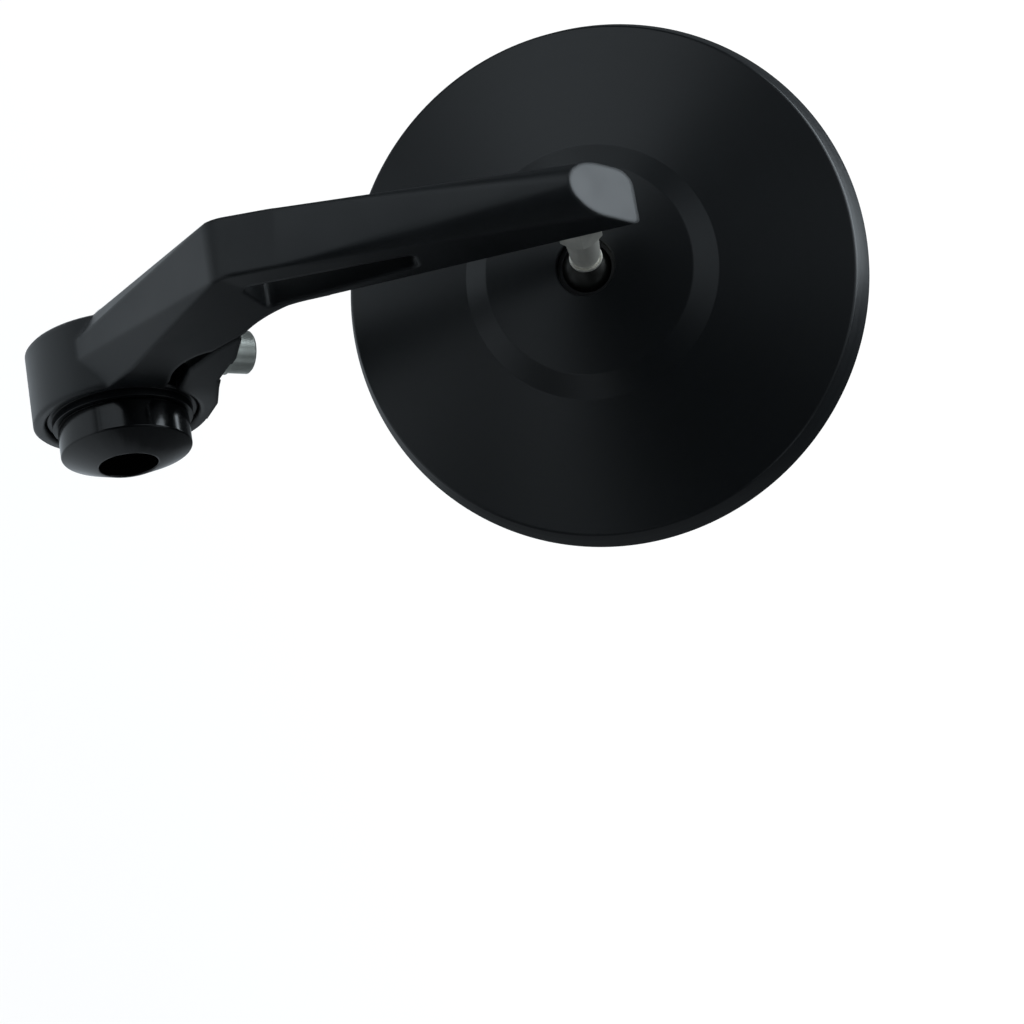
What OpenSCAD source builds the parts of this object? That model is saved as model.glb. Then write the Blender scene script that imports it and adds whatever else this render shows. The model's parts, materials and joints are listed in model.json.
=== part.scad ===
// Bar-end motorcycle mirror: a milled arm clamps round a sleeve on the bar end,
// and carries a turned, round mirror head on a ball stem.
// Millimetres. The origin is on the bar's axis, at the sleeve's face against the bar.
// +X runs along the bar towards the end cap, and +Z runs up the arm to the mirror.

/* [Clamp ring] */
// Radius of the clamp bore
bore_r = 15.4; // [13.5:0.1:15.8]
// Outside radius of the clamp ring
ring_r = 17.75; // [17.5:0.05:19]
// Reach of the clamp ring from the arm's middle plane towards the end cap
ring_front = 9.6; // [8.5:0.1:11]
// Reach of the clamp ring from the arm's middle plane towards the bar
ring_back = 6.1; // [5.5:0.1:7.5]
// Width of the slit that lets the clamp close
slit_w = 3; // [2.6:0.1:3.4]
// Radius of the slit's curved outer side
slit_bend_r = 9.1; // [8.9:0.05:9.4]
// Width of the slit at its mouth
slit_mouth_w = 0.8; // [0.6:0.1:1.2]

/* [Arm] */
// Thickness of the arm at the bend
arm_t = 12.3; // [11:0.1:13.5]
// Thickness of the arm at the head end
arm_tip_t = 11.2; // [10:0.1:12]
// Height of the arm's bend above the bore
bend_z = 50.2; // [48.5:0.1:52]
// Distance of the arm's outer face from the bore at the bend
bend_out = 29; // [27.5:0.1:30]
// Depth of the arm at the bend, from outer to inner face
bend_depth = 20.7; // [19.5:0.1:22]
// Length of the arm's upper limb along its outer face
limb_len = 68; // [64:0.5:74]
// Lean of the arm's upper limb from +Z towards the head
limb_lean = 30.4; // [28:0.1:33]
// Length of the slanted end face
end_face_len = 17.3; // [16.5:0.1:18]
// Rise of the slanted end face above level
end_face_rise = 11.3; // [8:0.1:14]
// Rounding of the bend on the outer face
bend_out_r = 8; // [4:0.5:12]
// Rounding of the bend on the inner face
bend_in_r = 22; // [12:0.5:22]
// Width left flat on the outer face between its two bevels, at the head end
crest_tip_w = 4; // [3:0.1:6]
// Width left flat on the outer face between its two bevels, at the ring
crest_ring_w = 4.2; // [3:0.1:6]
// Depth of the outer bevels at the head end
bevel_tip_d = 3.4; // [2.4:0.1:3.6]
// Distance from the bend to the start of the upper bevels
bevel_from = 11; // [4:0.5:14]
// Depth of the outer bevels at the ring
bevel_ring_d = 3; // [1.5:0.1:3.2]

/* [Window] */
// Distance from the outer face to the window, at its lower end
window_wall = 6.1; // [5.6:0.1:6.6]
// Distance from the outer face to the window, at its upper end
window_tip_wall = 6.4; // [5.8:0.1:6.8]
// Distance from the bend to the window
window_from = 3.1; // [2.6:0.1:6]
// Width of the window at its wide, lower end
window_w = 11.8; // [10.5:0.1:12]
// Width of the window at its narrow, upper end
window_tip_w = 5.8; // [5.2:0.1:6.4]
// Length of the window
window_len = 33.5; // [28:0.1:35]
// Rounding of the window's corners
window_r = 2; // [1:0.1:2.2]

/* [Pinch screw] */
// Thread diameter of the pinch screw
pinch_d = 5; // [4:0.5:5]
// Length of the pinch screw under its head
pinch_len = 19; // [17:0.5:20]
// Head diameter of the pinch screw
pinch_head_d = 8.5; // [7:0.1:8.8]
// Head height of the pinch screw
pinch_head_h = 5; // [4:0.1:5.5]
// Slope of the pinch screw from level
pinch_slope = 28; // [27:0.5:30]
// Distance of the pinch screw from the arm's middle plane, towards the end cap
pinch_side = 4.1; // [1.8:0.1:4.4]

/* [Sleeve and end cap] */
// Running clearance between the sleeve and the clamp bore
swing_gap = 0.05; // [0.02:0.01:0.1]
// Bore of the sleeve, which holds the cap's spigot
sleeve_bore_r = 9; // [8.6:0.1:10]
// Reach of the sleeve past the back of the clamp ring
sleeve_proud = 0.9; // [0.6:0.1:2]
// Radius of the sleeve's raised front ring
sleeve_step_r = 14; // [13.5:0.1:14.4]
// Outside radius of the end cap
cap_r = 13.1; // [12.5:0.1:13.4]
// Length of the end cap's glossy side, from the sleeve to the cone
cap_side = 6.2; // [5:0.1:8]
// Height of the end cap's conical face
cap_cone = 2.9; // [2:0.1:4]
// Radius of the screw well in the end cap
well_r = 5.9; // [5.8:0.1:6.6]
// Depth of the screw well
well_depth = 17; // [14:0.1:17.5]
// Thread diameter of the bar screw
bar_screw_d = 6; // [5:0.5:6]
// Reach of the bar screw's thread past the sleeve
bar_screw_reach = 7; // [5:0.5:12]
// Width across the flats of the bar screw's head
bar_hex = 6.4; // [6:0.1:7]

/* [Ball stem] */
// Distance of the stem from the inner tip of the arm
stem_inset = 11.7; // [11:0.1:13]
// Drop of the stem below level
stem_drop = 30.1; // [27:0.1:32]
// Turn of the stem towards the end cap
stem_yaw = 9.9; // [6:0.1:11]
// Distance from the arm's inner face to the centre of the ball
ball_reach = 20.3; // [19.5:0.1:24]
// Radius of the ball
ball_r = 5; // [4.8:0.05:5.1]
// Radius of the stem's neck
neck_r = 3.5; // [3.3:0.05:3.7]
// Width across the flats of the stem's hexagon
stem_hex = 8.2; // [8:0.1:9.4]
// Length of the stem's hexagon
stem_hex_h = 7.6; // [6:0.1:8]
// Thread diameter of the stem
stem_thread_d = 6; // [5:0.5:6]

/* [Mirror head] */
// Width of the head's rim round the glass
rim_w = 4.5; // [3.6:0.1:6]
// Height of the head's side wall
side_h = 6.4; // [6:0.1:8]
// Inward draft of the side wall over its height
side_draft = 1.7; // [1:0.1:2.4]
// Radius of the stepped band on the back of the head
band_r = 25.2; // [24:0.1:28]
// Width of the stepped band
band_w = 4.6; // [3.5:0.1:5.5]
// Depth of the head from its mouth to the rim
head_depth = 20.8; // [20.4:0.1:23]
// Radius of the mouth that the stem comes out of
mouth_r = 5.7; // [5.65:0.05:5.8]
// Radius of the mirror glass
glass_r = 48; // [44:0.5:53]
// Thickness of the mirror glass
glass_t = 2; // [1.8:0.1:2.2]
// Thickness of the foam pad
pad_t = 0.8; // [0.6:0.1:1]
// Wall of the head shell under its cone
shell_wall = 2.6; // [2.2:0.1:3]

/* [Head angle] */
// Tilt of the head from the stem's axis
head_tilt = 22.9; // [0:0.1:27]
// Direction of that tilt round the stem
head_swivel = -157.6; // [-180:0.1:180]

/* [Hidden] */
$fn = 96;
black_anodised = [0.09, 0.1, 0.11];
gloss_black = [0.03, 0.03, 0.035];
stainless = [0.72, 0.71, 0.68];
zinc = [0.55, 0.55, 0.56];
nylon = [0.12, 0.12, 0.12];
over = 1;

// Gaps between curved faces that move on each other, and between ones that don't
ball_gap = 0.1;
seat_gap = 0.1;
fit_gap = 0.1;

// The arm's profile lies in the YZ plane, written as [y, z]
function unit(v) = v / norm(v);
function turn(a, b, c) = cross(b - a, c - b);
function lean(a) = [sin(a), cos(a)];

foot = [-0.964 * ring_r, 0.26 * ring_r];
bend_outer = [-bend_out, bend_z];
bend_inner = bend_outer + [bend_depth, 0];
tip_outer = bend_outer + limb_len * lean(limb_lean);
tip_inner = tip_outer + end_face_len * [cos(end_face_rise), sin(end_face_rise)];
inner_dir = unit(tip_inner - bend_inner);
outer_dir = unit(tip_outer - bend_outer);
outer_in = [outer_dir[1], -outer_dir[0]];
lower_dir = unit(bend_outer - foot);
lower_in = [lower_dir[1], -lower_dir[0]];

// The pinch screw crosses the slit between the arm and the jaw
pinch_dir = [cos(pinch_slope), sin(pinch_slope)];
pinch_across = [-pinch_dir[1], pinch_dir[0]];
pinch_from_bore = 6.4;
seat_from_axis = 13.2;
pinch_seat = (bore_r + pinch_from_bore) * pinch_across + seat_from_axis * pinch_dir;
pinch_washer_t = 1;
pinch_washer_r = 4.6;
pinch_spot_r = 5.6;
jaw_tip = pinch_seat + 13.1 * pinch_across - 1.3 * pinch_dir;
seat_cut = 0.4;
jaw_top = pinch_seat + 5.8 * pinch_across + seat_cut * pinch_dir;
jaw_foot = pinch_seat - 2.6 * pinch_across + seat_cut * pinch_dir;
jaw_toe = pinch_seat + [3.8, -4.5];
ring_edge = 0.4;
jaw_heel = (ring_r + 1.4) * [cos(57), sin(57)];
heel_angle = atan2(jaw_heel[1], jaw_heel[0]) - acos(ring_r / norm(jaw_heel));

// The slit has a narrow mouth, widens to an arc and then runs straight into the bore
slit_centre = [-0.4, 25];
slit_end = 212;
slit_dir = [-sin(slit_end), cos(slit_end)];
slit_in = [-cos(slit_end), -sin(slit_end)];
slit_run = slit_centre - (slit_bend_r - 0.25) * slit_in;
slit_bay = slit_run + slit_w * slit_in - 0.9 * slit_dir;
slit_neck = [-7.4, 29.3];
slit_mouth = [-6.96, 37.5];
bend_crook = bend_inner - 4.1 * unit(tip_outer + end_face_len
    * [cos(end_face_rise), sin(end_face_rise)] - bend_inner);

// The window's long side runs beside the outer face
window_low = bend_outer + window_wall * outer_in + window_from * outer_dir;
window_high = bend_outer + window_tip_wall * outer_in + (window_from + window_len) * outer_dir;
window_low_in = window_low + window_w * unit([1, -0.19]);
window_high_in = window_high + window_tip_w * unit([1, -0.5]);

// The sleeve, cap and bar screw share the bar's axis
sleeve_r = bore_r - swing_gap;
sleeve_back = -ring_back - sleeve_proud;
sleeve_front = ring_front - 0.8;
sleeve_step_h = 1.6;
cap_seat = sleeve_front + sleeve_step_h;
cap_cone_x = cap_seat + cap_side;
cap_face = cap_cone_x + cap_cone;
well_floor = cap_face - well_depth;
spigot_r = sleeve_bore_r - 0.05;
spigot_end = sleeve_back + 0.4;
bar_screw_r = bar_screw_d / 2;
bar_shank_r = bar_screw_r - 0.5;
bar_hole_r = bar_screw_r + 0.25;
bar_washer_r = 5.4;
bar_washer_t = 1;
spring_washer_r = 4.9;
spring_washer_t = 1.4;
bar_hex_h = 4;

// The stem starts on the arm's inner face
stem_at = tip_inner - stem_inset * inner_dir;
spot_r = 5.45;
spot_depth = 1;
stem_washer_r = 4.8;
stem_washer_t = 0.6;
stem_thread_len = 6.4;
neck_end_r = 2.95;
collar_r = 3.25;
collar_from = 4.5;
groove_w = 0.8;
groove_r = 2.7;

// The head's own axis has its origin in the ball's centre, and +Z towards the glass
mouth_z = -3.2;
rim_z = mouth_z + head_depth;
head_r = glass_r + rim_w;
shoulder_z = rim_z - side_h;
shoulder_r = head_r - side_draft;
cone_slope = 0.32;
function cone_z(r) = shoulder_z - cone_slope * (shoulder_r - r);
band_z = cone_z(band_r);
band_rise = 0.57 * band_w;
glass_gap = 0.2;
glass_face = rim_z - 0.3;
pad_face = glass_face - glass_t;
plate_face = pad_face - pad_t;
backing_t = 1;
ledge_z = plate_face - backing_t;
ledge_r = glass_r - 7;
hub_r = 14.5;
hub_z = 8.6;
seat_bore_r = 8.1;
seat_top = -1.5;
seat_bottom = -0.2;
cup_r = ball_r + ball_gap + 1.3;
cup_cut = 3.2;
block_top = 0.6;
block_end = 7.8;
spring_t = 0.8;
spring_r = 7.6;
retainer_r = 13.6;
retainer_t = 1.6;
retainer_bolt_r = 11.2;
retainer_screw_d = 2.5;
retainer_count = 3;

// Rounding of a profile: each corner is cut off near its tangent points, then a
// circle fills an outward corner or clears an inward one. The circle stands a little
// proud of the sides, so that it crosses them at a clear angle, past the cut's ends
corner_proud = 0.025;
corner_tuck = 0.05;
function half_angle(a, b, c) = acos(unit(a - b) * unit(c - b)) / 2;
function corner_points(a, b, c, r) = r == 0 ? [b] :
    let (t = r / tan(half_angle(a, b, c)) - corner_tuck)
        [b + t * unit(a - b), b + t * unit(c - b)];
function eased(h, r) = h - acos(1 - corner_proud / r);
function corner_r(a, b, c, r) = let (h = half_angle(a, b, c)) r * cos(h) / cos(eased(h, r));
function corner_centre(a, b, c, r) = let (h = half_angle(a, b, c))
    b + (r / tan(h) * cos(h) + corner_r(a, b, c, r) * sin(eased(h, r)))
        * unit(unit(a - b) + unit(c - b));

// The points run anticlockwise
module rounded_profile(points, radii) {
    n = len(points);
    prev = function (i) points[(i + n - 1) % n];
    next = function (i) points[(i + 1) % n];
    difference() {
        union() {
            polygon([for (i = [0:n - 1])
                each corner_points(prev(i), points[i], next(i), radii[i])]);
            for (i = [0:n - 1])
                if (radii[i] > 0 && turn(prev(i), points[i], next(i)) > 0)
                    corner_circle(prev(i), points[i], next(i), radii[i]);
        }
        for (i = [0:n - 1])
            if (radii[i] > 0 && turn(prev(i), points[i], next(i)) < 0)
                corner_circle(prev(i), points[i], next(i), radii[i]);
    }
}

module corner_circle(a, b, c, r) {
    translate(corner_centre(a, b, c, r)) circle(r = corner_r(a, b, c, r));
}

// A YZ profile drawn out along X, and an XZ profile drawn out along Y
module along_x(from, to) {
    translate([from, 0, 0]) rotate([90, 0, 90]) linear_extrude(to - from) children();
}

module along_y(from, to) {
    translate([0, to, 0]) rotate([90, 0, 0]) linear_extrude(to - from) children();
}

// A round bar along X
module round_x(from, to, r, r_end = 0) {
    translate([from, 0, 0]) rotate([0, 90, 0])
        cylinder(h = to - from, r1 = r, r2 = r_end == 0 ? r : r_end);
}

// Moves from the arm's middle plane, which most sizes start from, to the bar's face
module in_place() {
    translate([sleeve_proud + ring_back, 0, 0]) children();
}

// Everything on the far side of the plane through three points
module beyond_plane(a, b, c, size = 200) {
    n = unit(cross(b - a, c - a));
    translate(a) rotate([0, acos(n[2]), atan2(n[1], n[0])])
        translate([-size / 2, -size / 2, 0]) cube(size);
}

// A frame whose +Z runs along the pinch screw, out of its head
module at_pinch_screw() {
    translate([pinch_side, pinch_seat[0], pinch_seat[1]]) rotate([pinch_slope - 90, 0, 0])
        children();
}

// A frame whose +Z runs along the ball stem, from the arm to the ball
module at_stem() {
    translate([0, stem_at[0], stem_at[1]]) rotate([-90 - stem_drop, 0, 0])
        rotate([0, stem_yaw, 0]) children();
}

// The ball's centre with the stem's axis, and then with the head's axis
module at_ball() {
    at_stem() translate([0, 0, ball_reach]) children();
}

module at_head() {
    at_ball() rotate([0, 0, head_swivel]) rotate([0, head_tilt, 0]) children();
}

// The arm's outline from the side, without the ring
module arm_outline() {
    rounded_profile(
        [foot, [0, 0], slit_mouth, bend_crook, tip_inner, tip_outer, bend_outer],
        [0, 0, 0, bend_in_r, 0, 0, bend_out_r]);
}

module jaw_outline() {
    heel_end = 0.99 * ring_r * [cos(heel_angle - 2), sin(heel_angle - 2)];
    polygon([[0, 0], heel_end, jaw_heel, jaw_toe,
             jaw_foot, jaw_top, jaw_tip, slit_mouth - [0, 0.4], slit_mouth - [3, 3],
             [-9, 20]]);
}

module slit_outline() {
    difference() {
        union() {
            translate(slit_centre) circle(r = slit_bend_r);
            translate(slit_run) rotate(slit_end + 90) square([13, slit_w + 1.5]);
        }
        polygon([slit_mouth - [0.2, 4.5], slit_bay, slit_bay + 12 * slit_dir,
                 [30, 10], [30, 60], slit_mouth + [-0.2, 20]]);
    }
    translate(slit_neck) rotate(atan2(slit_mouth[1] - slit_neck[1], slit_mouth[0] - slit_neck[0]))
        translate([0, -slit_mouth_w / 2]) square([12, slit_mouth_w]);
}

module window_outline() {
    rounded_profile([window_low, window_low_in, window_high_in, window_high],
                    window_r * [1, 1, 0.85, 0.85]);
}

// The arm seen from behind: flared to the ring on the cap's side, tapered to the tip
module arm_width() {
    polygon([[-ring_back, -ring_r - over], [ring_front, -ring_r - over],
             [ring_front, ring_r], [arm_t / 2, bend_z],
             [arm_tip_t / 2, tip_inner[1] + over], [-arm_tip_t / 2, tip_inner[1] + over],
             [-arm_t / 2, bend_z], [-ring_back, ring_r]]);
}

// A bevel that starts at the bend and deepens towards the head or the ring
module outer_bevels() {
    crest = crest_tip_w / 2;
    side = arm_tip_t / 2;
    deep = tip_outer + bevel_tip_d * outer_in;
    ring_crest = crest_ring_w / 2;
    ring_deep = foot + bevel_ring_d * lower_in;
    start = bend_outer + bevel_from * outer_dir;
    narrowing = (arm_t - arm_tip_t) / 2 / (tip_inner[1] - bend_z);
    start_side = arm_t / 2 - narrowing * (start[1] - bend_z);
    for (s = [-1, 1]) {
        bend_edge = [s * arm_t / 2, bend_outer[0], bend_outer[1]];
        bevel_edge = [s * start_side, start[0], start[1]];
        tip_crest = [s * crest, tip_outer[0], tip_outer[1]];
        tip_side = [s * side, deep[0], deep[1]];
        foot_crest = [0.6 + s * ring_crest, foot[0], foot[1]];
        foot_side = [s > 0 ? ring_front - 1 : -ring_back, ring_deep[0], ring_deep[1]];
        if (s > 0) {
            beyond_plane(bevel_edge, tip_side, tip_crest);
            beyond_plane(bend_edge, foot_crest, foot_side);
        } else {
            beyond_plane(bevel_edge, tip_crest, tip_side);
            beyond_plane(bend_edge, foot_side, foot_crest);
        }
    }
}

module mirror_arm() {
    color(black_anodised) in_place() difference() {
        union() {
            difference() {
                intersection() {
                    along_x(-ring_back - over, ring_front + over) {
                        arm_outline();
                        jaw_outline();
                    }
                    along_y(-60, 60) arm_width();
                }
                outer_bevels();
            }
            // The ring, with its two outer edges broken
            round_x(-ring_back + ring_edge, ring_front - ring_edge, ring_r);
            round_x(-ring_back, -ring_back + ring_edge, ring_r - ring_edge, ring_r);
            round_x(ring_front - ring_edge, ring_front, ring_r, ring_r - ring_edge);
        }
        round_x(-ring_back - over, ring_front + over, bore_r);
        round_x(ring_front - 0.5, ring_front + 0.01, bore_r, bore_r + 0.5);
        along_x(-ring_back - over, ring_front + over) slit_outline();
        along_x(-ring_back - over, ring_front + over) window_outline();
        at_pinch_screw() {
            translate([0, 0, -pinch_len - 1.2]) cylinder(h = pinch_len + 2, d = pinch_d);
            cylinder(h = 20, r = pinch_spot_r);
        }
        at_stem() {
            translate([0, 0, -stem_thread_len - spot_depth - 0.8])
                cylinder(h = stem_thread_len + 3, d = stem_thread_d);
            translate([0, 0, -spot_depth]) cylinder(h = 6, r = spot_r);
        }
    }
}

module pinch_screw() {
    color(stainless) in_place() at_pinch_screw() difference() {
        union() {
            translate([0, 0, -pinch_len]) cylinder(h = pinch_len + 2, d = pinch_d - 0.1);
            translate([0, 0, pinch_washer_t])
                cylinder(h = pinch_head_h - 0.4, d = pinch_head_d);
            translate([0, 0, pinch_washer_t + pinch_head_h - 0.4])
                cylinder(h = 0.4, d1 = pinch_head_d, d2 = pinch_head_d - 0.8);
        }
        translate([0, 0, pinch_washer_t + pinch_head_h - 2.8])
            cylinder(h = 4, d = 4 / cos(30), $fn = 6);
    }
}

module pinch_washer() {
    color(stainless) in_place() at_pinch_screw() difference() {
        cylinder(h = pinch_washer_t, r = pinch_washer_r);
        translate([0, 0, -over]) cylinder(h = 4, d = pinch_d + 0.3);
    }
}

// The sleeve stays on the bar, and the clamp ring turns on it
module clamp_sleeve() {
    color(black_anodised) in_place() difference() {
        union() {
            round_x(sleeve_back, sleeve_front - 0.5, sleeve_r);
            round_x(sleeve_front - 0.5, sleeve_front, sleeve_r, sleeve_r - 0.5);
            round_x(sleeve_front - 0.5, cap_seat, sleeve_step_r);
        }
        round_x(sleeve_back - over, cap_seat + over, sleeve_bore_r);
    }
}

module end_cap() {
    color(gloss_black) in_place() difference() {
        union() {
            round_x(spigot_end, cap_seat + over, spigot_r);
            round_x(cap_seat, cap_seat + 0.4, cap_r - 0.4, cap_r);
            round_x(cap_seat + 0.4, cap_cone_x, cap_r);
            round_x(cap_cone_x, cap_face, cap_r, well_r + 0.6);
        }
        round_x(well_floor, cap_face + over, well_r);
        round_x(spigot_end - over, cap_face, bar_hole_r);
        round_x(cap_face - 0.3, cap_face + 0.3, well_r - 0.3, well_r + 0.3);
    }
}

module bar_washer() {
    color(zinc) in_place() difference() {
        round_x(well_floor, well_floor + bar_washer_t, bar_washer_r);
        round_x(well_floor - over, cap_face, bar_hole_r);
    }
}

// A split spring washer: its ends stand apart
module bar_spring_washer() {
    from = well_floor + bar_washer_t;
    color(zinc) in_place() difference() {
        round_x(from, from + spring_washer_t, spring_washer_r);
        round_x(from - over, cap_face, bar_hole_r);
        translate([from - over, 0, -0.4]) rotate([20, 0, 0]) cube([4, 8, 0.8]);
    }
}

module bar_screw() {
    from = well_floor + bar_washer_t + spring_washer_t;
    tip = sleeve_back - bar_screw_reach;
    color(stainless) in_place() {
        translate([from, 0, 0]) rotate([0, 90, 0])
            cylinder(h = bar_hex_h, d = bar_hex / cos(30), $fn = 6);
        round_x(spigot_end - 0.4, from + over, bar_shank_r);
        round_x(tip + 0.6, spigot_end, bar_screw_r);
        round_x(tip, tip + 0.6, bar_screw_r - 0.6, bar_screw_r);
    }
}

// The stem in one turned piece: thread, hexagon, neck, groove, collar and ball
module ball_stem() {
    hex_from = stem_washer_t - spot_depth;
    hex_to = hex_from + stem_hex_h;
    collar_to = ball_reach - collar_from;
    color(stainless) in_place() at_stem() {
        translate([0, 0, hex_from - stem_thread_len])
            cylinder(h = stem_thread_len + over, d = stem_thread_d - 0.1);
        intersection() {
            translate([0, 0, hex_from])
                cylinder(h = stem_hex_h, d = stem_hex / cos(30), $fn = 6);
            translate([0, 0, hex_from - 0.5])
                cylinder(h = stem_hex_h + 0.5, r1 = stem_hex / 2 + stem_hex_h + 0.1,
                         r2 = stem_hex / 2 - 0.4);
        }
        translate([0, 0, hex_to - over])
            cylinder(h = collar_to - groove_w - hex_to + over, r1 = neck_r, r2 = neck_end_r);
        translate([0, 0, hex_to]) cylinder(h = collar_to - hex_to + over, r = groove_r);
        translate([0, 0, collar_to]) cylinder(h = collar_from - 3, r = collar_r);
        translate([0, 0, ball_reach]) sphere(r = ball_r);
    }
}

module stem_washer() {
    color(stainless) in_place() at_stem() difference() {
        translate([0, 0, -spot_depth]) cylinder(h = stem_washer_t, r = stem_washer_r);
        translate([0, 0, -spot_depth - over]) cylinder(h = 4, d = stem_thread_d + 0.2);
    }
}

// A floating nylon cup under the ball, in line with the stem
module ball_cup() {
    color(nylon) in_place() at_ball() difference() {
        sphere(r = cup_r);
        sphere(r = ball_r + ball_gap);
        translate([-10, -10, cup_cut - 20]) cube(20);
    }
}

// A nylon ring between the ball and the shell, in line with the head
module seat_ring() {
    color(nylon) in_place() at_head() difference() {
        translate([0, 0, seat_top]) cylinder(h = seat_bottom - seat_top,
                                             r = seat_bore_r - seat_gap);
        sphere(r = ball_r + ball_gap);
    }
}

// The turned shell: stepped cone outside, hub, ledge and glass recess inside
module head_shell() {
    hub_bore = seat_bore_r;
    band_in = band_r - band_w;
    inner_slope = (band_z - band_rise - mouth_z) / (band_in - mouth_r);
    color(black_anodised) in_place() at_head() difference() {
        rotate_extrude($fn = 180) difference() {
            polygon([
                [0, mouth_z], [mouth_r, mouth_z], [band_in, band_z - band_rise],
                [band_r, band_z], [shoulder_r, shoulder_z],
                [head_r, shoulder_z + 0.94 * side_h], [head_r - 0.5, rim_z],
                [glass_r + glass_gap + 0.3, rim_z],
                [glass_r + glass_gap, rim_z - 0.3],
                [glass_r + glass_gap, ledge_z], [ledge_r, ledge_z],
                [ledge_r - 1, cone_z(ledge_r - 1) + shell_wall],
                [band_r, band_z + shell_wall + 0.6],
                [hub_r + 0.8, band_z - band_rise + shell_wall - inner_slope * 3.2],
                [hub_r, hub_z], [0, hub_z]]);
        }
        translate([0, 0, mouth_z - over]) cylinder(h = 20, r = mouth_r);
        translate([0, 0, mouth_z - 0.01]) cylinder(h = 0.3, r1 = mouth_r + 0.3, r2 = mouth_r);
        translate([0, 0, seat_top]) cylinder(h = 20, r = hub_bore);
        for (i = [0:retainer_count - 1]) rotate([0, 0, i * 360 / retainer_count])
            translate([retainer_bolt_r, 0, hub_z - 5]) cylinder(h = 10, d = retainer_screw_d);
    }
}

// A block with a round seat presses the cup on the ball
module pressure_block() {
    color(zinc) in_place() at_head() difference() {
        translate([0, 0, block_top])
            cylinder(h = block_end - block_top, r = seat_bore_r - fit_gap);
        sphere(r = cup_r + ball_gap);
    }
}

module wave_spring() {
    color(stainless) in_place() at_head() difference() {
        translate([0, 0, block_end]) cylinder(h = spring_t, r = spring_r);
        translate([0, 0, block_end - over]) cylinder(h = 4, r = spring_r - 2.2);
    }
}

module retainer_plate() {
    color(zinc) in_place() at_head() difference() {
        translate([0, 0, hub_z]) cylinder(h = retainer_t, r = retainer_r);
        for (i = [0:retainer_count - 1]) rotate([0, 0, i * 360 / retainer_count])
            translate([retainer_bolt_r, 0, hub_z - over])
                cylinder(h = 4, d = retainer_screw_d + 0.3);
    }
}

module retainer_screws() {
    color(stainless) in_place() at_head() for (i = [0:retainer_count - 1])
        rotate([0, 0, i * 360 / retainer_count]) translate([retainer_bolt_r, 0, 0])
            difference() {
                union() {
                    translate([0, 0, hub_z - 4.2])
                        cylinder(h = 4.2 + retainer_t + 0.5, d = retainer_screw_d - 0.1);
                    translate([0, 0, hub_z + retainer_t]) cylinder(h = 1.3, d = 4.5);
                }
                translate([0, 0, hub_z + retainer_t + 0.4])
                    cylinder(h = 2, d = 1.5 / cos(30), $fn = 6);
            }
}

module backing_plate() {
    color(zinc) in_place() at_head() translate([0, 0, ledge_z])
        cylinder(h = backing_t, r = glass_r - 0.4, $fn = 180);
}

module glass_pad() {
    color([0.2, 0.2, 0.2]) in_place() at_head() translate([0, 0, plate_face])
        cylinder(h = pad_t, r = glass_r - 1.5, $fn = 180);
}

module mirror_glass() {
    color([0.75, 0.8, 0.85]) in_place() at_head() {
        translate([0, 0, pad_face]) cylinder(h = glass_t - 0.4, r = glass_r, $fn = 180);
        translate([0, 0, glass_face - 0.4])
            cylinder(h = 0.4, r1 = glass_r, r2 = glass_r - 0.4, $fn = 180);
    }
}

mirror_arm();
pinch_screw();
pinch_washer();
clamp_sleeve();
end_cap();
bar_screw();
bar_washer();
bar_spring_washer();
ball_stem();
stem_washer();
ball_cup();
seat_ring();
head_shell();
pressure_block();
wave_spring();
retainer_plate();
retainer_screws();
backing_plate();
glass_pad();
mirror_glass();
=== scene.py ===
import json
import math
import bpy
import bmesh
from mathutils import Matrix, Vector


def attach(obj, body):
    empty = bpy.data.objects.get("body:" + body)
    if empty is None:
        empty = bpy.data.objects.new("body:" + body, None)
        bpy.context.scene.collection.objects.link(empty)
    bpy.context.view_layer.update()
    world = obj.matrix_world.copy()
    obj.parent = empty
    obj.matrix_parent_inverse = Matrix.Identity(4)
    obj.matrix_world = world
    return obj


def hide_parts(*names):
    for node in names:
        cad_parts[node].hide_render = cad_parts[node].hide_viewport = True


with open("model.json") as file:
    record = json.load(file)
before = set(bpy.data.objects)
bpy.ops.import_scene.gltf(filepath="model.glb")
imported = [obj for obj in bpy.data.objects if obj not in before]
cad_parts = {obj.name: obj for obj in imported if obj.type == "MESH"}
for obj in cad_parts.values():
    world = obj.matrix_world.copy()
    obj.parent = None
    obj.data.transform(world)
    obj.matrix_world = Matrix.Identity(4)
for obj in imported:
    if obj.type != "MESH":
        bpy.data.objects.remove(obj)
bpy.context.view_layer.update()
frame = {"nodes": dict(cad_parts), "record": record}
scene = bpy.context.scene
mm = 0.001

# camera: the photograph's view
cameraSettings = {
    "place": (325.14, -584.01, 472.35),  # millimetres
    "right": (0.15398, 0.59006, 0.79254),
    "down": (0.92552, 0.19474, -0.32480),
    "lens": 143.11,
    "sensor": 36.0,
    "clip": (0.01, 20),  # metres
}


def makeCamera(s):
    data = bpy.data.cameras.new("photoCamera")
    data.lens = s["lens"]
    data.sensor_width = s["sensor"]
    data.clip_start, data.clip_end = s["clip"]
    camera = bpy.data.objects.new("photoCamera", data)
    right, up = Vector(s["right"]).normalized(), -Vector(s["down"]).normalized()
    back = right.cross(up).normalized()
    up = back.cross(right)
    turn = Matrix((right, up, back)).transposed().to_4x4()
    camera.matrix_world = Matrix.Translation(Vector(s["place"]) * mm) @ turn
    scene.collection.objects.link(camera)
    scene.camera = camera


makeCamera(cameraSettings)
print("camera placed")

# the object's own axes
headAxes = {
    "ball": (10.490, 34.490, 91.724),  # millimetres
    "stem": (0.171929, 0.852269, -0.494043),
    "face": (-0.196027, 0.912976, -0.357838),  # towards the glass
}
pinchAxis = {"seat": (11.1, 1.42, 25.44), "screw": (0, 0.88295, 0.46947)}


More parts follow.
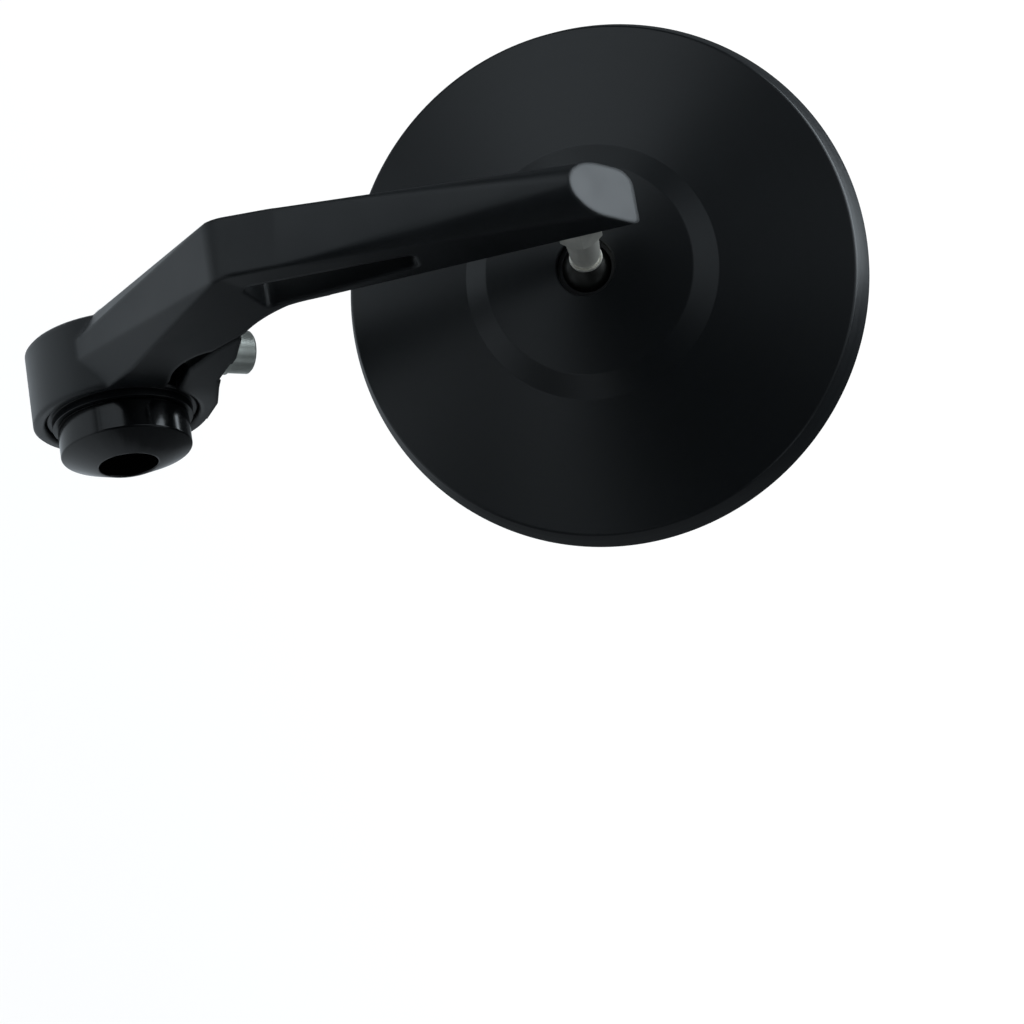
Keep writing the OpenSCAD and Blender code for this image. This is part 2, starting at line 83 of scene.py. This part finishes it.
def axisFrame(place, direction, hint=(0, 0, 1)):
    # a frame at place, in millimetres, whose +Z runs along direction
    z = Vector(direction).normalized()
    x = Vector(hint).cross(z).normalized()
    y = z.cross(x)
    return Matrix.Translation(Vector(place) * mm) @ Matrix((x, y, z)).transposed().to_4x4()


headFrame = axisFrame(headAxes["ball"], headAxes["face"])
stemFrame = axisFrame(headAxes["ball"], headAxes["stem"])
barFrame = axisFrame((0, 0, 0), (1, 0, 0))
pinchFrame = axisFrame(pinchAxis["seat"], pinchAxis["screw"])


# node helpers
class Shader:
    # one material's node tree, with short calls to add and join nodes
    def __init__(self, name):
        self.material = bpy.data.materials.new(name)
        self.material.use_nodes = True
        self.tree = self.material.node_tree
        self.tree.nodes.clear()
        self.surface = self.add("ShaderNodeBsdfPrincipled")
        self.out = self.add("ShaderNodeOutputMaterial")
        self.join(self.surface, "BSDF", self.out, "Surface")

    def add(self, kind, **values):
        node = self.tree.nodes.new(kind)
        for key, value in values.items():
            if hasattr(node, key) and key not in node.inputs:
                setattr(node, key, value)
            else:
                node.inputs[key.replace("_", " ")].default_value = value
        return node

    def join(self, a, fromSocket, b, toSocket):
        self.tree.links.new(a.outputs[fromSocket], b.inputs[toSocket])

    def place(self, axes=None):
        # object coordinates, turned into the frame of a piece's own axis
        coords = self.add("ShaderNodeTexCoord")
        if axes is None:
            return coords, "Object"
        back = axes.inverted()
        mapping = self.add("ShaderNodeMapping")
        mapping.inputs["Location"].default_value = back.to_translation()
        mapping.inputs["Rotation"].default_value = back.to_euler("XYZ")
        self.join(coords, "Object", mapping, "Vector")
        return mapping, "Vector"

    def noise(self, source, scale, detail=3, dims="3D"):
        noise = self.add("ShaderNodeTexNoise", noise_dimensions=dims)
        noise.inputs["Scale"].default_value = scale
        noise.inputs["Detail"].default_value = detail
        if source:
            self.join(source[0], source[1], noise, "W" if dims == "1D" else "Vector")
        return noise

    def remap(self, node, socket, low, high, fromLow=0.35, fromHigh=0.65):
        remap = self.add("ShaderNodeMapRange")
        ends = {"From Min": fromLow, "From Max": fromHigh, "To Min": low, "To Max": high}
        for key, value in ends.items():
            remap.inputs[key].default_value = value
        self.join(node, socket, remap, "Value")
        return remap

    def math(self, operation, a, b=None):
        node = self.add("ShaderNodeMath", operation=operation)
        for i, value in enumerate((a, b)):
            if isinstance(value, (int, float)):
                node.inputs[i].default_value = value
            elif value is not None:
                self.tree.links.new(value[0].outputs[value[1]], node.inputs[i])
        return node

    def bump(self, heights, distance, strength):
        # heights are summed in a chain of bumps
        last = None
        for source in heights:
            bump = self.add("ShaderNodeBump")
            bump.inputs["Distance"].default_value = distance
            bump.inputs["Strength"].default_value = strength
            self.join(source[0], source[1], bump, "Height")
            if last:
                self.join(last, "Normal", bump, "Normal")
            last = bump
        self.join(last, "Normal", self.surface, "Normal")
        return last

    def ramp(self, node, socket, stops):
        ramp = self.add("ShaderNodeValToRGB")
        while len(ramp.color_ramp.elements) < len(stops):
            ramp.color_ramp.elements.new(0.5)
        for element, (at, colour) in zip(ramp.color_ramp.elements, stops):
            element.position = at
            element.color = (*colour, 1)
        self.join(node, socket, ramp, "Fac")
        return ramp


def shade(colour, k):
    return tuple(c * k for c in colour)


# blasted: a fine even grain, as on the arm
def blastedFinish(name, s):
    m = Shader(name)
    source = m.place()
    cloud = m.noise(source, s["cloud"], 4)
    spread = s.get("spread", 0.18)
    dark, light = shade(s["colour"], 1 - spread), shade(s["colour"], 1 + spread)
    colours = m.ramp(cloud, "Fac", [(0.35, dark), (0.65, light)])
    m.join(colours, "Color", m.surface, "Base Color")
    if s["rough"] > 0.1:
        rough = m.remap(cloud, "Fac", s["rough"] - 0.04, s["rough"] + 0.05)
        m.join(rough, "Result", m.surface, "Roughness")
    else:
        m.surface.inputs["Roughness"].default_value = s["rough"]
    grain = m.noise(source, s["grain"], 2)
    last = m.bump([(grain, "Fac")], s["grainDepth"], 0.6)
    if s["edge"]:
        soft = m.add("ShaderNodeBevel", samples=6)
        soft.inputs["Radius"].default_value = s["edge"] * mm
        m.join(soft, "Normal", last, "Normal")
    m.surface.inputs["Metallic"].default_value = s["metal"]
    m.surface.inputs["Specular IOR Level"].default_value = s["specular"]
    return m.material


# turned on a lathe: fine rings round the piece's axis
def turnedFinish(name, s, axes, along=False):
    m = Shader(name)
    source = m.place(axes)
    split = m.add("ShaderNodeSeparateXYZ")
    m.join(source[0], source[1], split, "Vector")
    xx = m.math("MULTIPLY", (split, "X"), (split, "X"))
    yy = m.math("MULTIPLY", (split, "Y"), (split, "Y"))
    total = m.math("ADD", (xx, "Value"), (yy, "Value"))
    radius = m.math("SQRT", (total, "Value"))
    position = m.math("ADD", (radius, "Value"), (split, "Z")) if along else radius
    rings = m.noise((position, "Value"), s["rings"], 3, "1D")
    cloud = m.noise(source, s["cloud"], 3)
    colours = m.ramp(cloud, "Fac", [(0.35, shade(s["colour"], 0.85)), (0.65, shade(s["colour"], 1.15))])
    if "ball" in s:
        # painted shade: the ball is darkened to near black to stand in for the shade inside the socket's
        # mouth; the shank above it keeps its bright colour
        reach = m.add("ShaderNodeVectorMath", operation="LENGTH")
        m.join(source[0], source[1], reach, "Vector")
        past = m.remap(reach, "Value", 0.03, 1.0, s["ball"] * mm, (s["ball"] + 0.15) * mm)
        ballPaintedShade = m.add("ShaderNodeMix", data_type="RGBA", blend_type="MULTIPLY")
        ballPaintedShade.inputs["Factor"].default_value = 1.0
        m.join(colours, "Color", ballPaintedShade, "A")
        m.join(past, "Result", ballPaintedShade, "B")
        m.join(ballPaintedShade, "Result", m.surface, "Base Color")
    else:
        m.join(colours, "Color", m.surface, "Base Color")
    rough = m.remap(rings, "Fac", s["rough"] - s["roughSpread"], s["rough"] + s["roughSpread"])
    m.join(rough, "Result", m.surface, "Roughness")
    grain = m.noise(source, s["grain"], 2)
    m.bump([(rings, "Fac"), (grain, "Fac")], s["ringDepth"], s["strength"])
    m.surface.inputs["Metallic"].default_value = s["metal"]
    m.surface.inputs["Specular IOR Level"].default_value = s["specular"]
    return m.material


armBlack = blastedFinish("armBlack", {
    "colour": (0.0052, 0.0064, 0.0076), "rough": 0.4, "metal": 0.0, "specular": 0.42,
    "cloud": 70, "grain": 3200, "grainDepth": 0.00001, "edge": 1.3})
sleeveBlack = blastedFinish("sleeveBlack", {
    "colour": (0.004, 0.0046, 0.0055), "rough": 0.36, "metal": 0.0, "specular": 0.3,
    "cloud": 90, "grain": 2600, "grainDepth": 0.000008, "edge": 0})
headBlack = turnedFinish("headBlack", {
    "colour": (0.0042, 0.0052, 0.0062), "rough": 0.36, "roughSpread": 0.04, "metal": 0.0,
    "specular": 0.4, "rings": 5200, "cloud": 40, "grain": 2600, "ringDepth": 0.00001,
    "strength": 0.3}, headFrame)
capBlack = turnedFinish("capBlack", {
    "colour": (0.0022, 0.0025, 0.003), "rough": 0.15, "roughSpread": 0.04, "metal": 0.0,
    "specular": 0.36, "rings": 6000, "cloud": 90, "grain": 3000, "ringDepth": 0.000004,
    "strength": 0.25}, barFrame, True)
# stem steel with painted shade on the ball: within 5.08 mm of the ball's centre the colour is darkened
# to near black
stemSteel = turnedFinish("stemSteel", {
    "colour": (0.66, 0.64, 0.58), "rough": 0.42, "roughSpread": 0.02, "metal": 0.72,
    "specular": 0.5, "rings": 4500, "cloud": 160, "grain": 4000, "ringDepth": 0.0000004,
    "strength": 0.15, "ball": 5.08}, stemFrame, True)
screwSteel = turnedFinish("screwSteel", {
    "colour": (0.56, 0.56, 0.53), "rough": 0.3, "roughSpread": 0.05, "metal": 1.0,
    "specular": 0.5, "rings": 4000, "cloud": 220, "grain": 4000, "ringDepth": 0.000002,
    "strength": 0.3}, barFrame, True)
pinchSteel = turnedFinish("pinchSteel", {
    "colour": (0.52, 0.54, 0.5), "rough": 0.34, "roughSpread": 0.05, "metal": 0.6,
    "specular": 0.5, "rings": 4000, "cloud": 220, "grain": 4000, "ringDepth": 0.000002,
    "strength": 0.3}, pinchFrame, True)
zincGrey = blastedFinish("zincGrey", {
    "colour": (0.45, 0.45, 0.46), "rough": 0.38, "metal": 1.0, "specular": 0.5,
    "cloud": 120, "grain": 2500, "grainDepth": 0.000008, "edge": 0})
nylonBlack = blastedFinish("nylonBlack", {
    "colour": (0.02, 0.02, 0.021), "rough": 0.5, "metal": 0.0, "specular": 0.5,
    "cloud": 150, "grain": 1800, "grainDepth": 0.00001, "edge": 0})
foamBlack = blastedFinish("foamBlack", {
    "colour": (0.03, 0.03, 0.03), "rough": 0.85, "metal": 0.0, "specular": 0.3,
    "cloud": 200, "grain": 1500, "grainDepth": 0.00005, "edge": 0})
plateGrey = blastedFinish("plateGrey", {
    "colour": (0.4, 0.4, 0.41), "rough": 0.42, "metal": 1.0, "specular": 0.5,
    "cloud": 60, "grain": 2000, "grainDepth": 0.00001, "edge": 0})
glassSilver = blastedFinish("glassSilver", {
    "colour": (0.72, 0.75, 0.78), "spread": 0.012, "rough": 0.0, "metal": 1.0, "specular": 0.5,
    "cloud": 14, "grain": 300, "grainDepth": 0.0000002, "edge": 0})
print("finishes made")

nodeFinish = {
    "mirror_arm": armBlack, "head_shell": headBlack, "clamp_sleeve": sleeveBlack,
    "end_cap": capBlack, "bar_screw": screwSteel, "bar_washer": zincGrey,
    "bar_spring_washer": zincGrey, "pinch_screw": pinchSteel, "pinch_washer": pinchSteel,
    "ball_stem": stemSteel, "stem_washer": stemSteel, "ball_cup": nylonBlack,
    "seat_ring": nylonBlack, "pressure_block": zincGrey, "wave_spring": screwSteel,
    "retainer_plate": zincGrey, "retainer_screws": screwSteel, "backing_plate": plateGrey,
    "glass_pad": foamBlack, "mirror_glass": glassSilver,
}
for nodeName, material in nodeFinish.items():
    mesh = frame["nodes"][nodeName].data
    mesh.materials.clear()
    mesh.materials.append(material)


# pieces with softened edges, from the solids
softening = {  # millimetres and degrees
    "merge": 0.004, "flat": 0.4, "sharp": 28, "armMerge": 0.003, "armSharp": 24, "segments": 3,
}
edgeWidth = {  # millimetres
    "clamp_sleeve": 0.12, "end_cap": 0.3, "bar_screw": 0.15,
    "pinch_screw": 0.25, "pinch_washer": 0.12, "ball_stem": 0.16, "stem_washer": 0.1,
    "mirror_glass": 0.15,
}
pieceName = {
    "mirror_arm": "armBody", "head_shell": "headShell", "clamp_sleeve": "barSleeve",
    "end_cap": "barCap", "bar_screw": "barScrew", "pinch_screw": "pinchScrew",
    "pinch_washer": "pinchWasher", "ball_stem": "ballStem", "stem_washer": "stemWasher",
    "mirror_glass": "mirrorGlass",
}
bodyOf = {node: body for body, group in frame["record"]["behaviour"]["bodies"].items() for node in group}


def keepPiece(bm, nodeName):
    mesh = bpy.data.meshes.new(pieceName[nodeName])
    bm.to_mesh(mesh)
    bm.free()
    mesh.materials.append(nodeFinish[nodeName])
    piece = bpy.data.objects.new(pieceName[nodeName], mesh)
    scene.collection.objects.link(piece)
    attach(piece, bodyOf[nodeName])
    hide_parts(nodeName)
    return piece


def shadeByAngle(bm, angle):
    for face in bm.faces:
        face.smooth = True
    for edge in bm.edges:
        edge.smooth = edge.is_manifold and edge.calc_face_angle(0) < math.radians(angle)


def mergedCopy(nodeName, s):
    bm = bmesh.new()
    bm.from_mesh(frame["nodes"][nodeName].data)
    bmesh.ops.remove_doubles(bm, verts=bm.verts, dist=s["merge"] * mm)
    return bm


def softened(nodeName, width, s):
    bm = mergedCopy(nodeName, s)
    bmesh.ops.dissolve_limit(bm, angle_limit=math.radians(s["flat"]), verts=bm.verts, edges=bm.edges)
    bmesh.ops.recalc_face_normals(bm, faces=bm.faces)
    shadeByAngle(bm, s["sharp"])
    piece = keepPiece(bm, nodeName)
    bevel = piece.modifiers.new("softEdge", "BEVEL")
    bevel.width = width * mm
    bevel.segments = s["segments"]
    bevel.limit_method = "ANGLE"
    bevel.angle_limit = math.radians(s["sharp"])
    bevel.harden_normals = True


for nodeName, width in edgeWidth.items():
    softened(nodeName, width, softening)
print("edges softened")

# the arm: its long edges are rounded away by cutters
armShape = {  # millimetres and degrees
    "middle": 7.0, "bend": (-29.0, 50.2), "lean": 30.4, "length": 68.0,
    "halfWidth": (6.15, 5.64), "crest": (6.06, 2.0), "bevelDepth": 3.4,
    "bevelFrom": 11.0, "innerDepth": (17.85, -0.0714), "innerFrom": 10.47,
}
armRounds = {  # tangent lengths of each rounded edge, at its start and at the arm's tip
    "crest": (0.15, 1.9), "side": (0.15, 2.5), "innerNear": (0.12, 1.2), "innerFar": (0.12, 2.6),
    "arcSteps": 10, "innerStart": 19.0, "startPast": 1.5, "past": 14.0,
    "lift": 0.012, "sideMargin": 0.5, "cornerMargin": 1.2,  # how far a cutter stands out of the arm
}


def armPoint(x, along, depth, s):
    # from the limb's own measures to the arm's place
    a = math.radians(s["lean"])
    y = s["bend"][0] + along * math.sin(a) + depth * math.cos(a)
    z = s["bend"][1] + along * math.cos(a) - depth * math.sin(a)
    return Vector((s["middle"] + x, y, z)) * mm


def cutterLoop(corner, one, two, reach, r):
    # the space between a sharp corner and the arc that rounds it
    steps = r["arcSteps"]
    out = -(one + two).normalized()
    start, end = corner + one * reach, corner + two * reach
    half = one.angle(two) / 2
    radius = reach * math.tan(half)
    centre = corner - out * (reach / math.cos(half))
    first = start - centre
    turn = first.angle_signed(end - centre)
    points = []
    for k in range(steps + 1):
        a = -turn * k / steps
        edgeLift = r["lift"] * abs(2 * k / steps - 1) ** 2
        arm = Vector((first.x * math.cos(a) - first.y * math.sin(a),
                      first.x * math.sin(a) + first.y * math.cos(a)))
        points.append(centre + arm * (1 + edgeLift / radius))
    normalTwo = (end - centre).normalized()
    normalOne = first.normalized()
    beside, beyond = r["sideMargin"], r["cornerMargin"]
    return points + [end + normalTwo * beside, corner + out * beyond, start + normalOne * beside]


def cornerAt(kind, side, t, s, r):
    # a corner, both directions away from it and its rounding, at one station along the arm
    width = s["halfWidth"][0] + (s["halfWidth"][1] - s["halfWidth"][0]) * t["along"] / s["length"]
    if kind in ("crest", "side"):
        part = (t["along"] - s["bevelFrom"]) / (s["length"] - s["bevelFrom"])
        crest = s["crest"][0] + (s["crest"][1] - s["crest"][0]) * part
        depth = s["bevelDepth"] * part
        top, low = Vector((crest, 0)), Vector((width, depth))
        slope = (low - top).normalized() if depth > 0.05 else Vector((1, 1)).normalized()
        if kind == "crest":
            found = top, Vector((-1, 0)), slope
        else:
            found = low, -slope, Vector((0, 1))
    else:
        depth = s["innerDepth"][0] + s["innerDepth"][1] * (t["along"] - s["innerFrom"])
        found = Vector((width, depth)), Vector((0, -1)), Vector((-1, 0))
    reach = r[kind][0] + (r[kind][1] - r[kind][0]) * t["part"]
    return [Vector((v.x * side, v.y)) for v in found] + [reach]


def edgeCutter(kind, side, start, s, r):
    bm = bmesh.new()
    past = (r["past"] + s["length"] - start) / (s["length"] - start)
    rims = []
    for part in (0, past):
        t = {"along": start + (s["length"] - start) * part, "part": part}
        corner, one, two, reach = cornerAt(kind, side, t, s, r)
        ring = [bm.verts.new(armPoint(p.x, t["along"], p.y, s))
                for p in cutterLoop(corner, one, two, reach, r)]
        rims.append([bm.edges.new((ring[i], ring[(i + 1) % len(ring)])) for i in range(len(ring))])
    bmesh.ops.bridge_loops(bm, edges=rims[0] + rims[1])
    bmesh.ops.holes_fill(bm, edges=bm.edges, sides=0)
    bmesh.ops.triangulate(bm, faces=bm.faces)
    bmesh.ops.recalc_face_normals(bm, faces=bm.faces)
    mesh = bpy.data.meshes.new("cutter")
    bm.to_mesh(mesh)
    bm.free()
    cutter = bpy.data.objects.new("cutter", mesh)
    scene.collection.objects.link(cutter)
    return cutter


def roundedArm(s, r, soft):
    bm = mergedCopy("mirror_arm", soft)
    mesh = bpy.data.meshes.new("armBlank")
    bm.to_mesh(mesh)
    bm.free()
    blank = bpy.data.objects.new("armBlank", mesh)
    scene.collection.objects.link(blank)
    cutters = []
    outerStart = s["bevelFrom"] + r["startPast"]
    for side, inner in ((1, "innerNear"), (-1, "innerFar")):
        for kind, start in (("crest", outerStart), ("side", outerStart), (inner, r["innerStart"])):
            cutter = edgeCutter(kind, side, start, s, r)
            cut = blank.modifiers.new("cut", "BOOLEAN")
            cut.operation, cut.solver, cut.object = "DIFFERENCE", "MANIFOLD", cutter
            cutters.append(cutter)
    bpy.context.view_layer.update()
    solved = blank.evaluated_get(bpy.context.evaluated_depsgraph_get())
    bm = bmesh.new()
    bm.from_mesh(solved.to_mesh())
    for gone in [blank] + cutters:
        old = gone.data
        bpy.data.objects.remove(gone)
        bpy.data.meshes.remove(old)
    bmesh.ops.remove_doubles(bm, verts=bm.verts, dist=soft["armMerge"] * mm)
    for face in bm.faces:
        face.material_index = 0
    shadeByAngle(bm, soft["armSharp"])
    keepPiece(bm, "mirror_arm")


roundedArm(armShape, armRounds, softening)
print("arm rounded")

# the head's shell, turned from its profile
shellProfile = {  # millimetres: radius, height along the head's axis and rounding of each corner
    "steps": 256, "arcSteps": 6,
    "corners": [
        (5.7, -1.5, 0), (5.7, -3.2, 0.3), (20.6, 0.385, 1.6), (25.2, 3.008, 1.3),
        (50.8, 11.2, 1.0), (52.5, 17.216, 0.25), (52.0, 17.6, 0.15), (48.5, 17.6, 0.1),
        (48.2, 17.3, 0), (48.2, 13.5, 0), (41.0, 13.5, 0.2), (40.0, 10.344, 0.4),
        (25.2, 6.208, 0.4), (15.3, 2.215, 0.3), (14.5, 8.6, 0), (8.1, 8.6, 0.2), (8.1, -1.5, 0)],
}


def roundedPath(corners, arcSteps):
    # each corner is replaced by an arc that touches both of its sides
    path = []
    count = len(corners)
    for i, (r, z, radius) in enumerate(corners):
        here = Vector((r, z))
        if radius == 0:
            path.append(here)
            continue
        before = (Vector(corners[i - 1][:2]) - here).normalized()
        after = (Vector(corners[(i + 1) % count][:2]) - here).normalized()
        half = before.angle(after) / 2
        reach = radius / math.tan(half)
        centre = here + (before + after).normalized() * (radius / math.sin(half))
        start, end = here + before * reach - centre, here + after * reach - centre
        turn = start.angle_signed(end)
        for k in range(arcSteps + 1):
            a = -turn * k / arcSteps
            path.append(centre + Vector((start.x * math.cos(a) - start.y * math.sin(a),
                                         start.x * math.sin(a) + start.y * math.cos(a))))
    return path


def turnedPiece(nodeName, path, axes, steps):
    bm = bmesh.new()
    verts = [bm.verts.new(axes @ (Vector((p.x, 0, p.y)) * mm)) for p in path]
    edges = [bm.edges.new((verts[i], verts[(i + 1) % len(verts)])) for i in range(len(verts))]
    bmesh.ops.spin(bm, geom=verts + edges, cent=axes.translation, axis=axes.col[2].to_3d(),
                   angle=2 * math.pi, steps=steps, use_merge=True)
    bmesh.ops.recalc_face_normals(bm, faces=bm.faces)
    shadeByAngle(bm, softening["sharp"])
    keepPiece(bm, nodeName)


shellPath = roundedPath(shellProfile["corners"], shellProfile["arcSteps"])
turnedPiece("head_shell", shellPath, headFrame, shellProfile["steps"])
print("head turned")

# floor, background and light
stageSettings = {
    # metres; the floor lies below the arm's lowest swing
    "floorZ": -0.165, "floorSize": 3.0, "floorColour": 0.9,
    "glow": 0.78, "fade": (0.25, 0.9), "shine": 1.08,
    # a card that only blurred reflections see: a light patch under the clamp, dark behind,
    # light far in front
    "cardZ": -0.0195, "patch": (-0.02, -0.045), "patchReach": (0.03, 0.15), "patchLight": (0.9, 0.11),
    "frontReach": (-0.27, -0.18), "frontLight": 0.8,
    "roomLight": 0.04, "skyLight": 0.8, "skyFrom": 0.76, "tint": (0.84, 0.93, 1.0),
}


def stageDisc(name, height, s, material):
    bm = bmesh.new()
    bmesh.ops.create_circle(bm, cap_ends=True, segments=96, radius=s["floorSize"],
                            matrix=Matrix.Translation((0, 0, height)))
    mesh = bpy.data.meshes.new(name)
    bm.to_mesh(mesh)
    bm.free()
    mesh.materials.append(material)
    disc = bpy.data.objects.new(name, mesh)
    scene.collection.objects.link(disc)
    return disc


def floorWhite(s):
    m = Shader("floorWhite")
    m.surface.inputs["Base Color"].default_value = (s["floorColour"],) * 3 + (1,)
    m.surface.inputs["Roughness"].default_value = 1
    m.surface.inputs["Specular IOR Level"].default_value = 0
    rays = m.add("ShaderNodeLightPath")
    plain = m.math("MAXIMUM", (rays, "Is Camera Ray"), (rays, "Is Transmission Ray"))
    plain = m.math("MAXIMUM", (plain, "Value"), (rays, "Is Glossy Ray"))
    away = m.add("ShaderNodeVectorMath", operation="LENGTH")
    m.join(m.add("ShaderNodeTexCoord"), "Object", away, "Vector")
    fade = m.remap(away, "Value", s["glow"], 1, *s["fade"])
    share = m.math("MULTIPLY", (plain, "Value"), (fade, "Result"))
    glow = m.add("ShaderNodeEmission", Strength=s["shine"])
    mix = m.add("ShaderNodeMixShader")
    m.join(share, "Value", mix, "Fac")
    m.tree.links.new(m.surface.outputs[0], mix.inputs[1])
    m.tree.links.new(glow.outputs[0], mix.inputs[2])
    # from below, the floor is not in the way
    under = m.add("ShaderNodeMixShader")
    m.join(m.add("ShaderNodeNewGeometry"), "Backfacing", under, "Fac")
    m.tree.links.new(mix.outputs[0], under.inputs[1])
    m.tree.links.new(m.add("ShaderNodeBsdfTransparent").outputs[0], under.inputs[2])
    m.join(under, "Shader", m.out, "Surface")
    return m.material


def cardLight(s):
    m = Shader("cardLight")
    coords = m.add("ShaderNodeTexCoord")
    away = m.add("ShaderNodeVectorMath", operation="DISTANCE")
    away.inputs[1].default_value = (*s["patch"], s["cardZ"])
    m.join(coords, "Object", away, "Vector")
    patch = m.remap(away, "Value", *s["patchLight"], *s["patchReach"])
    split = m.add("ShaderNodeSeparateXYZ")
    m.join(coords, "Object", split, "Vector")
    front = m.remap(split, "Y", s["frontLight"], 0, *s["frontReach"])
    light = m.math("MAXIMUM", (patch, "Result"), (front, "Result"))
    glow = m.add("ShaderNodeEmission")
    glow.inputs["Color"].default_value = (*s["tint"], 1)
    m.join(light, "Value", glow, "Strength")
    # a true mirror sees past the card to the white floor
    rays = m.add("ShaderNodeLightPath")
    blurred = m.math("SUBTRACT", (rays, "Is Glossy Ray"), (rays, "Is Singular Ray"))
    blurred = m.math("MAXIMUM", (blurred, "Value"), 0)
    mix = m.add("ShaderNodeMixShader")
    m.join(blurred, "Value", mix, "Fac")
    m.tree.links.new(m.add("ShaderNodeBsdfTransparent").outputs[0], mix.inputs[1])
    m.tree.links.new(glow.outputs[0], mix.inputs[2])
    m.join(mix, "Shader", m.out, "Surface")
    return m.material


def makeStage(s):
    stageDisc("paleFloor", s["floorZ"], s, floorWhite(s))
    card = stageDisc("reflectionCard", s["cardZ"], s, cardLight(s))
    card.visible_camera = card.visible_diffuse = card.visible_shadow = False
    card.visible_transmission = card.visible_volume_scatter = False

    world = bpy.data.worlds.new("studio")
    scene.world = world
    world.use_nodes = True
    tree = world.node_tree
    background = tree.nodes["Background"]
    rays = tree.nodes.new("ShaderNodeLightPath")
    # the room is dark at the sides and lighter overhead; the camera sees plain white
    way = tree.nodes.new("ShaderNodeTexCoord")
    split = tree.nodes.new("ShaderNodeSeparateXYZ")
    tree.links.new(way.outputs["Generated"], split.inputs["Vector"])
    room = tree.nodes.new("ShaderNodeMapRange")
    room.inputs["From Min"].default_value = s["skyFrom"]
    room.inputs["To Min"].default_value = s["roomLight"]
    room.inputs["To Max"].default_value = s["skyLight"]
    tree.links.new(split.outputs["Z"], room.inputs["Value"])
    strength = tree.nodes.new("ShaderNodeMapRange")
    strength.inputs["To Max"].default_value = 1.0
    tree.links.new(room.outputs["Result"], strength.inputs["To Min"])
    plain = tree.nodes.new("ShaderNodeMath")
    plain.operation = "MAXIMUM"
    tree.links.new(rays.outputs["Is Camera Ray"], plain.inputs[0])
    tree.links.new(rays.outputs["Is Singular Ray"], plain.inputs[1])
    tree.links.new(plain.outputs[0], strength.inputs["Value"])
    tree.links.new(strength.outputs["Result"], background.inputs["Strength"])
    colour = tree.nodes.new("ShaderNodeMix")
    colour.data_type = "RGBA"
    colour.inputs["A"].default_value = (*s["tint"], 1)
    colour.inputs["B"].default_value = (1, 1, 1, 1)
    tree.links.new(plain.outputs[0], colour.inputs["Factor"])
    tree.links.new(colour.outputs["Result"], background.inputs["Color"])


lampSettings = [
    # name, direction towards the lamp, distance, size, power
    ("topLamp", (-0.35, 0.53, 0.78), 1.0, (0.9, 0.9), 10.0),
    ("frontLamp", (-0.62, -0.72, 0.28), 1.2, (1.0, 0.8), 2.5),
    ("sideLamp", (0.8, 0.35, 0.5), 1.2, (0.4, 0.4), 0.5),
]


lampAim = (5, 20, 60)  # millimetres


def makeLamps(lamps):
    centre = Vector(lampAim) * mm
    for name, aim, distance, size, power in lamps:
        data = bpy.data.lights.new(name, "AREA")
        data.shape = "RECTANGLE"
        data.size, data.size_y = size
        data.energy = power
        data.color = stageSettings["tint"]
        lamp = bpy.data.objects.new(name, data)
        way = Vector(aim).normalized()
        lamp.location = centre + way * distance
        lamp.rotation_mode = "QUATERNION"
        lamp.rotation_quaternion = way.to_track_quat("Z", "Y")
        scene.collection.objects.link(lamp)


makeStage(stageSettings)
makeLamps(lampSettings)
scene.view_settings.view_transform = "Standard"
print("stage and lamps set")
